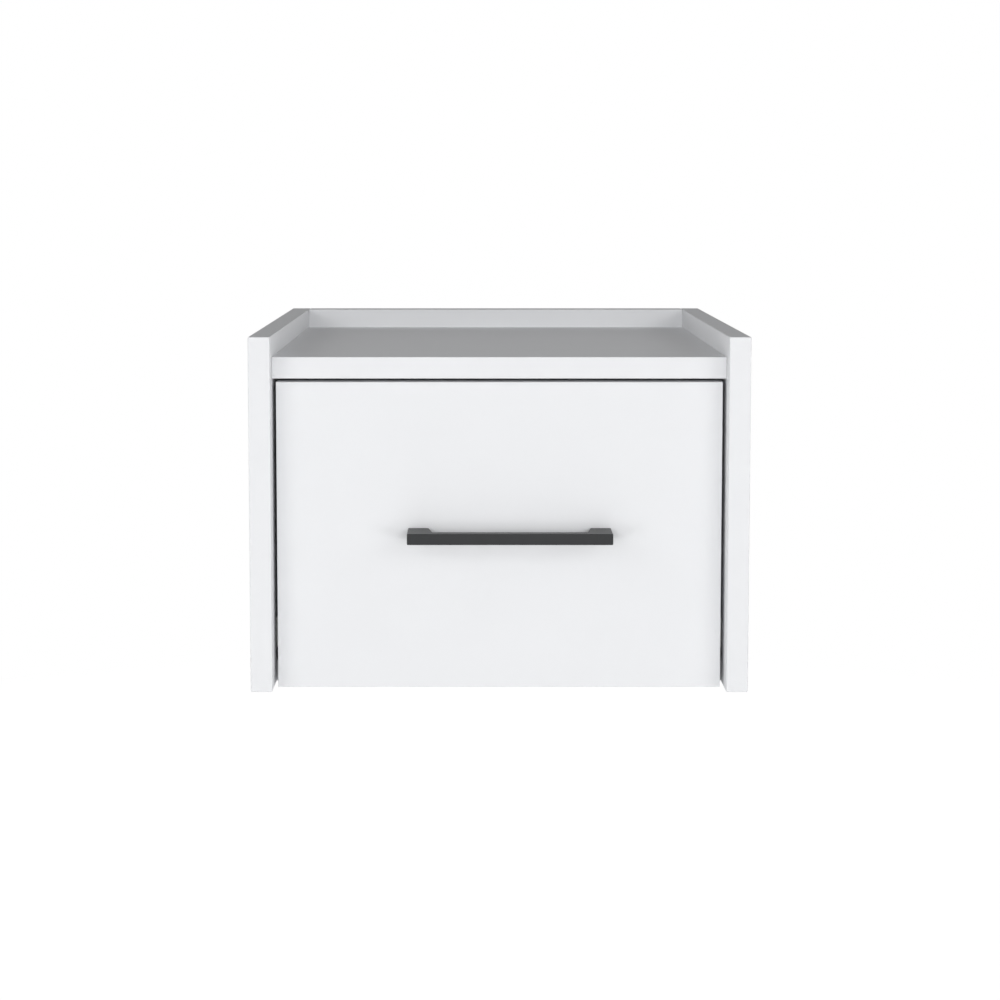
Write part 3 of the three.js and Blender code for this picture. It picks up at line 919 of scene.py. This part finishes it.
@dataclass
class CamLock:
    """A cast cam that draws two boards together, with a cross slot in its face and an arrow for its turn."""

    slot_mm: tuple[float, float, float] = (8.0, 1.5, 1.8)  # length, width and depth of the cross
    bolt_room_mm: float = 3.4
    bolt_room_reach: float = 1.6  # length of the room for the bolt, in radii of the cam
    rim_mm: float = 0.5
    arrow_mm: float = 1.1
    arrow_depth_mm: float = 0.4
    arrow_inset: float = 1.2  # distance of the arrow from the rim, in radii of the arrow
    sides: int = 48

    def build(self, seats: list[Seat]) -> None:
        """Model the cam once and copy it to each of its seats.

        Args:
            seats: The seats of cams of one size.
        """
        first = seats[0]
        low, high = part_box(first.node)
        middle = (low + high) / 2
        across, along = first.bolt.vector, first.outward.vector
        radius = abs((high - low).dot(across)) / 2 / MM
        height = abs((high - low).dot(along)) / MM
        bolt_low, bolt_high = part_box(first.bolt_node)
        bolt_depth = height / 2 - ((bolt_low + bolt_high) / 2 - middle).dot(along) / MM
        master = self._master(radius, height, bolt_depth)
        seat_copies(master, "cast", CAST_ZINC, {
            seat.node: Stand(end_of(seat.node, seat.outward.vector), seat.outward.vector, seat.bolt.vector)
            for seat in seats
        })

    def _master(self, radius: float, height: float, bolt_depth: float) -> bpy.types.Object:
        """Model the cam with its face at height zero and its bolt along X.

        Args:
            radius: Radius of the cam in millimetres.
            height: Its height in millimetres.
            bolt_depth: Depth of the bolt's axis under the face in millimetres.

        Returns:
            The cam.
        """
        rim = self.rim_mm
        cam = turned("cam_master", [(radius, -height), (radius, -rim), (radius - rim, 0.0)], self.sides)
        length, width, depth = self.slot_mm
        cut_cross(cam, length, width, depth)
        reach = radius * self.bolt_room_reach
        room = turned("bolt_room", [(self.bolt_room_mm, 0.0), (self.bolt_room_mm, reach)], self.sides)
        settle(room, Stand(Vector((0, 0, -bolt_depth * MM)), Way.RIGHT.vector, Way.REAR.vector))
        cut_away(cam, room)
        bpy.ops.mesh.primitive_cylinder_add(
            vertices=3, radius=self.arrow_mm * MM, depth=self.arrow_depth_mm * 2 * MM,
            location=((radius - rim - self.arrow_mm * self.arrow_inset) * MM, 0, 0),
            rotation=(0, 0, -math.pi / 2))
        cut_away(cam, bake(bpy.context.object))
        return cam


@dataclass
class CamBolt:
    """The bolt that a cam draws on: a head, a thin neck, a shaft in one board and a thread in the other.

    Its length is read from its CAD node.
    """

    head_mm: float = 3.0
    neck_mm: float = 1.8
    neck_length_mm: float = 6.0
    shaft_mm: float = 3.5
    thread_mm: float = 2.8
    thread_length_mm: float = 10.0
    pitch_mm: float = 2.0
    round_mm: float = 0.7
    sides: int = 32
    recess_mm: tuple[float, float, float] = (3.6, 0.9, 1.1)  # length, width and depth of the cross

    def outline(self, length: float) -> Outline:
        """Draw the bolt from its head to the end of its thread.

        Args:
            length: Length of the whole bolt in millimetres.

        Returns:
            Its outline, with zero at the end of the head.
        """
        head, neck, shaft, soft = self.head_mm, self.neck_mm, self.shaft_mm, self.round_mm
        shaft_start = head + self.neck_length_mm
        thread_start = length - self.thread_length_mm
        turns = int(self.thread_length_mm / self.pitch_mm) - 1
        return [
            (head - soft, 0.0), (head, soft), (head, head - soft), (neck, head), (neck, shaft_start),
            (shaft - soft, shaft_start), (shaft, shaft_start + soft),
            (shaft, thread_start - soft), (shaft - soft, thread_start),
            *thread(self.thread_mm, self.pitch_mm, thread_start + soft, turns),
            (self.thread_mm * THREAD_ROOT, length),
        ]

    def build(self, seats: list[Seat]) -> None:
        """Model the bolt once and copy it to each of its seats.

        Args:
            seats: The seats of the cams.
        """
        low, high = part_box(seats[0].bolt_node)
        length = abs((high - low).dot(seats[0].bolt.vector)) / MM
        master = turned("cam_bolt_master", self.outline(length), self.sides)
        cut_cross(master, *self.recess_mm)
        seat_copies(master, "turned", ZINC, {
            seat.bolt_node: Stand(
                end_of(seat.bolt_node, -seat.bolt.vector), seat.bolt.vector, seat.outward.vector)
            for seat in seats
        })


# Sub-assemblies


@dataclass
class Cabinet:
    """The part on the wall: five boards, their fittings, and the plates that it hangs on."""

    plate_round_mm: float = 0.25
    boards: list[Board] = field(default_factory=lambda: [
        Board("side_panel_left", SIDEWAYS, LENGTHWAYS + UPRIGHT, round_mm=0.8),
        Board("side_panel_right", SIDEWAYS, LENGTHWAYS + UPRIGHT, round_mm=0.8),
        Board("top_board", UPRIGHT, (Way.FRONT,), round_mm=0.4),
        Board("bottom_board", UPRIGHT, (Way.FRONT,)),
        Board("back_panel", LENGTHWAYS, UPRIGHT),
    ])

    def build(self) -> None:
        """Model and seat every piece of the cabinet but its runners."""
        for board in self.boards:
            board.build()
        seats = [
            Seat(f"top_cam_{hand}_{end}", Way.DOWN, way)
            for hand, way in HANDS.items() for end in ("front", "rear")
        ]
        seats += [Seat(f"bottom_cam_{hand}", Way.UP, way) for hand, way in HANDS.items()]
        CamLock().build(seats)
        CamBolt().build(seats)
        places = [f"{hand}_{level}" for hand in HANDS for level in ("lower", "upper")]
        Fastener(Head.COUNTERSUNK, Way.FRONT.vector, shank_mm=2.0, pitch_mm=2.2).build(
            [f"back_screw_{place}" for place in places])
        Fastener(Head.COUNTERSUNK, Way.FRONT.vector, shank_mm=1.5, pitch_mm=1.4, recess_width_mm=0.9).build(
            [f"hanger_screw_{place}" for place in places])
        seat_bevelled(sided("hanger_plate_{}"), "stamped", self.plate_round_mm, SHEET_ZINC)


@dataclass
class Drawer:
    """The drawer box with its front, fittings and screws."""

    boards: list[Board] = field(default_factory=lambda: [
        Board("drawer_front", LENGTHWAYS, SIDEWAYS + UPRIGHT, round_mm=0.4),
        Board("drawer_side_left", SIDEWAYS, (Way.UP,)),
        Board("drawer_side_right", SIDEWAYS, (Way.UP,)),
        Board("drawer_back", LENGTHWAYS, (Way.UP,)),
        Board("drawer_bottom", (Way.UP,), (), arris_mm=0.15, finishes=(LACQUER, LACQUER, FIBRE)),
    ])

    def build(self) -> None:
        """Model and seat every piece of the drawer but its handle and runners."""
        for board in self.boards:
            board.build()
        seats = [Seat(f"drawer_cam_{hand}", way, Way.FRONT) for hand, way in HANDS.items()]
        CamLock().build(seats)
        CamBolt().build(seats)
        for hand, way in HANDS.items():
            Fastener(Head.COUNTERSUNK, -way.vector, shank_mm=1.75, pitch_mm=1.8, recess_width_mm=1.0).build(
                [f"drawer_corner_screw_{hand}_{level}" for level in ("lower", "upper")])
        Fastener(Head.PAN, Way.FRONT.vector, shank_mm=2.0, pitch_mm=0.7, head_mm=2.4).build(
            sided("handle_screw_{}"))


@dataclass
class BarHandle:
    """A cast bar handle on two feet that widen into the bar, with crisp but not sharp edges."""

    node: str = "handle"
    round_mm: float = 0.6
    segments: int = 4
    seat_mm: float = 0.05

    def build(self) -> None:
        """Round the handle's edges, but for those that lie on the drawer front, and seat it."""
        piece = merged_copy(self.node, "cast")
        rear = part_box(self.node)[1].y
        mesh = piece.data
        weights = mesh.attributes.new("bevel_weight_edge", "FLOAT", "EDGE")
        for edge in mesh.edges:
            ends = [mesh.vertices[i].co for i in edge.vertices]
            seated = all(end.y > rear - self.seat_mm * MM for end in ends)
            weights.data[edge.index].value = 0.0 if seated else 1.0
        finish_with(
            piece, "BEVEL", width=self.round_mm * MM, segments=self.segments, limit_method="WEIGHT",
            use_clamp_overlap=True)
        keep_inside(piece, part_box(self.node))
        dress(piece, GRAPHITE)
        smooth(piece)
        stand_in(piece, self.node)


@dataclass
class Runners:
    """The four folded steel runners, their nylon rollers and their screws."""

    fold_mm: float = 0.3
    roller_sides: int = 64
    bore_mm: float = 2.8
    hub_mm: float = 1.6
    rim_mm: float = 1.5
    web_mm: float = 0.8
    soft_mm: float = 0.5

    def build(self) -> None:
        """Model and seat the runners, rollers and screws."""
        runners = sided("cabinet_runner_{}") + sided("drawer_runner_{}")
        seat_bevelled(runners, "folded", self.fold_mm, ENAMEL)
        for nodes in (sided("cabinet_roller_{}"), sided("drawer_roller_{}")):
            self._rollers(nodes)
        for hand, way in HANDS.items():
            Fastener(Head.PAN, way.vector, shank_mm=1.75, pitch_mm=1.6, head_mm=1.6).build(
                [f"cabinet_runner_screw_{hand}_{end}" for end in ("front", "rear")])
        Fastener(Head.PAN, Way.UP.vector, shank_mm=1.75, pitch_mm=1.6, head_mm=1.6).build(
            [f"drawer_runner_screw_{hand}_{end}" for hand in HANDS for end in ("front", "rear")])

    def _rollers(self, nodes: list[str]) -> None:
        """Turn one roller with a hub, a sunk web and a rounded rim, and copy it to each of its nodes.

        Args:
            nodes: The CAD nodes of rollers of one size.
        """
        low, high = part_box(nodes[0])
        half = (high.x - low.x) / 2 / MM
        radius = (high.z - low.z) / 2 / MM
        hub, rim = self.bore_mm + self.hub_mm, radius - self.rim_mm
        sunk, soft = half - self.web_mm, self.soft_mm
        third = soft / 3
        outline = [
            (self.bore_mm, -half), (hub, -half), (hub, -sunk), (rim, -sunk), (rim, -half),
            (radius - soft, -half), (radius - third, third - half), (radius, soft - half),
            (radius, half - soft), (radius - third, half - third), (radius - soft, half),
            (rim, half), (rim, sunk), (hub, sunk), (hub, half), (self.bore_mm, half), (self.bore_mm, -half),
        ]
        master = turned("roller_master", outline, self.roller_sides, bored=True)
        seat_copies(master, "moulded", NYLON, {
            node: Stand(sum(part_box(node), Vector()) / 2, Way.RIGHT.vector, Way.REAR.vector) for node in nodes
        })


# Camera and studio


@dataclass(frozen=True)
class Viewpoint:
    """The photograph's camera, fitted to the cabinet's edges. Its place is taken from the side panels."""

    focal_px: float = 1780.96
    axis_px: tuple[float, float] = (478.99, 319.72)
    frame_px: float = 1000.0
    sensor_mm: float = 36.0
    pitch: float = 0.0724  # radians below the horizon
    aside_mm: float = -14.13
    before_mm: float = 1217.49
    above_mm: float = 348.24

    def build(self) -> None:
        """Add the camera and make it the scene's."""
        low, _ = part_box("side_panel_left")
        data = bpy.data.cameras.new("viewpoint")
        data.sensor_width = self.sensor_mm
        data.lens = self.focal_px / self.frame_px * self.sensor_mm
        data.shift_x = 0.5 - self.axis_px[0] / self.frame_px
        data.shift_y = self.axis_px[1] / self.frame_px - 0.5
        camera = bpy.data.objects.new("viewpoint", data)
        camera.location = (self.aside_mm * MM, low.y - self.before_mm * MM, low.z + self.above_mm * MM)
        camera.rotation_euler = (math.pi / 2 - self.pitch, 0, 0)
        bpy.context.scene.collection.objects.link(camera)
        bpy.context.scene.camera = camera


@dataclass(frozen=True)
class Softbox:
    """An upright lamp with an even face, turned to the cabinet.

    Its level is the brightness of its face, with white paper at one.
    """

    name: str
    bearing: float  # degrees round the cabinet, with zero in front of it
    span: tuple[float, float]  # heights of its lower and upper edge
    width: float
    level: float
    distance: float = 4.2

    def build(self) -> None:
        """Add the lamp, or one on each hand where it stands aside."""
        if self.bearing == 0:
            self._lamp(self.name, 0)
        else:
            for hand, way in HANDS.items():
                self._lamp(f"{hand}_{self.name}", way.vector.x * self.bearing)

    def _lamp(self, name: str, bearing: float) -> None:
        """Add one lamp, unseen by the camera.

        Args:
            name: Its name.
            bearing: Degrees round the cabinet, with zero in front of it and 90 on its right.
        """
        low, high = self.span
        data = bpy.data.lights.new(name, "AREA")
        data.shape = "RECTANGLE"
        data.size = self.width
        data.size_y = high - low
        data.energy = self.level * math.pi * self.width * (high - low)
        outward = Matrix.Rotation(math.radians(bearing), 3, "Z") @ Way.FRONT.vector
        lamp = bpy.data.objects.new(name, data)
        lamp.location = outward * self.distance + Vector((0, 0, (low + high) / 2))
        lamp.rotation_euler = outward.to_track_quat("Z", "Y").to_euler()
        lamp.visible_camera = False
        bpy.context.scene.collection.objects.link(lamp)


@dataclass
class Studio:
    """A pale floor under the hanging cabinet, a white surround, and softboxes round it.

    The middle softbox gives half of the light on the front, from the height of the eye, so that faces which
    look up stay darker. The surround gives little light, which keeps the shade of the handle and the gaps.
    """

    drop: float = 0.7
    floor_size: float = 40.0
    floor_colour: str = "F0F0F0"
    lift: float = 0.58  # what the floor near the cabinet needs beside its lamps to be white
    near: float = 0.9  # distance at which the floor starts to turn plain white
    far: float = 2.6  # distance at which it has
    ambient: float = 0.17
    lamps: list[Softbox] = field(default_factory=lambda: [
        Softbox("middle_softbox", bearing=0, span=(0.15, 0.98), width=3.4, level=6.2),
        Softbox("upper_softbox", bearing=40, span=(0.98, 2.48), width=2.1, level=2.2),
        Softbox("lower_softbox", bearing=40, span=(-0.8, 0.1), width=2.1, level=4.6),
        Softbox("side_softbox", bearing=75, span=(0.98, 2.48), width=3.4, level=1.2),
        Softbox("rear_softbox", bearing=140, span=(-0.6, 0.9), width=3.4, level=3.2),
    ])

    def build(self) -> None:
        """Add the floor, the surround and the lamps, and set the plain view."""
        self._floor()
        self._surround()
        for lamp in self.lamps:
            lamp.build()
        bpy.context.scene.view_settings.view_transform = "Standard"

    def _seen_rays(self, tree: bpy.types.NodeTree) -> bpy.types.NodeSocket:
        """Add nodes that tell the rays that show a surface from those that light others.

        Args:
            tree: The node tree that they go into.

        Returns:
            One for camera, glossy and transmission rays, and zero for all others.
        """
        path = add_node(tree, "ShaderNodeLightPath")
        seen = path.outputs["Is Camera Ray"]
        for kind in ("Is Glossy Ray", "Is Transmission Ray"):
            either = add_node(
                tree, "ShaderNodeMath", {"operation": "MAXIMUM", 0: seen, 1: path.outputs[kind]})
            seen = either.outputs["Value"]
        return seen

    def _floor(self) -> None:
        """Add the floor: it takes the cabinet's shadow near it, and is plain white to the eye further off."""
        low, _ = CAD_BOX
        bpy.ops.mesh.primitive_plane_add(size=self.floor_size, location=(0, 0, low.z - self.drop))
        floor = bake(bpy.context.object)
        floor.name = "floor"
        material = bpy.data.materials.new("pale_floor")
        tree = empty_tree(material)
        seen = self._seen_rays(tree)
        place = add_node(tree, "ShaderNodeTexCoord").outputs["Object"]
        distance = add_node(tree, "ShaderNodeVectorMath", {"operation": "LENGTH", "Vector": place})
        away = add_node(tree, "ShaderNodeMapRange", {
            "From Min": self.near, "From Max": self.far, "Value": distance.outputs["Value"]})
        plain = add_node(
            tree, "ShaderNodeMath", {"operation": "MULTIPLY", 0: seen, 1: away.outputs["Result"]})
        lift = add_node(tree, "ShaderNodeMath", {"operation": "MULTIPLY", 0: seen, 1: self.lift})
        glow = add_node(tree, "ShaderNodeEmission", {"Strength": lift.outputs["Value"]})
        matt = add_node(tree, "ShaderNodeBsdfDiffuse", {"Color": linear(self.floor_colour)})
        close = add_node(tree, "ShaderNodeAddShader", {0: matt.outputs["BSDF"], 1: glow.outputs["Emission"]})
        white = add_node(tree, "ShaderNodeEmission", {"Strength": 1.0})
        both = add_node(tree, "ShaderNodeMixShader", {
            "Fac": plain.outputs["Value"], 1: close.outputs["Shader"], 2: white.outputs["Emission"]})
        add_node(tree, "ShaderNodeOutputMaterial", {"Surface": both.outputs["Shader"]})
        floor.data.materials.append(material)

    def _surround(self) -> None:
        """Light the scene evenly from the surround, and show it white."""
        world = bpy.data.worlds.new("surround")
        bpy.context.scene.world = world
        tree = empty_tree(world)
        dim, shown = (
            add_node(tree, "ShaderNodeBackground", {"Color": linear("FFFFFF"), "Strength": strength})
            for strength in (self.ambient, 1.0))
        mixed = add_node(tree, "ShaderNodeMixShader", {
            "Fac": self._seen_rays(tree), 1: dim.outputs["Background"], 2: shown.outputs["Background"]})
        add_node(tree, "ShaderNodeOutputWorld", {"Surface": mixed.outputs["Shader"]})


def main() -> None:
    """Build the camera, the pieces and the studio."""
    logging.basicConfig(level=logging.INFO, format="%(message)s")
    Viewpoint().build()
    Cabinet().build()
    Drawer().build()
    BarHandle().build()
    Runners().build()
    Studio().build()


if __name__ == "__main__":
    main()
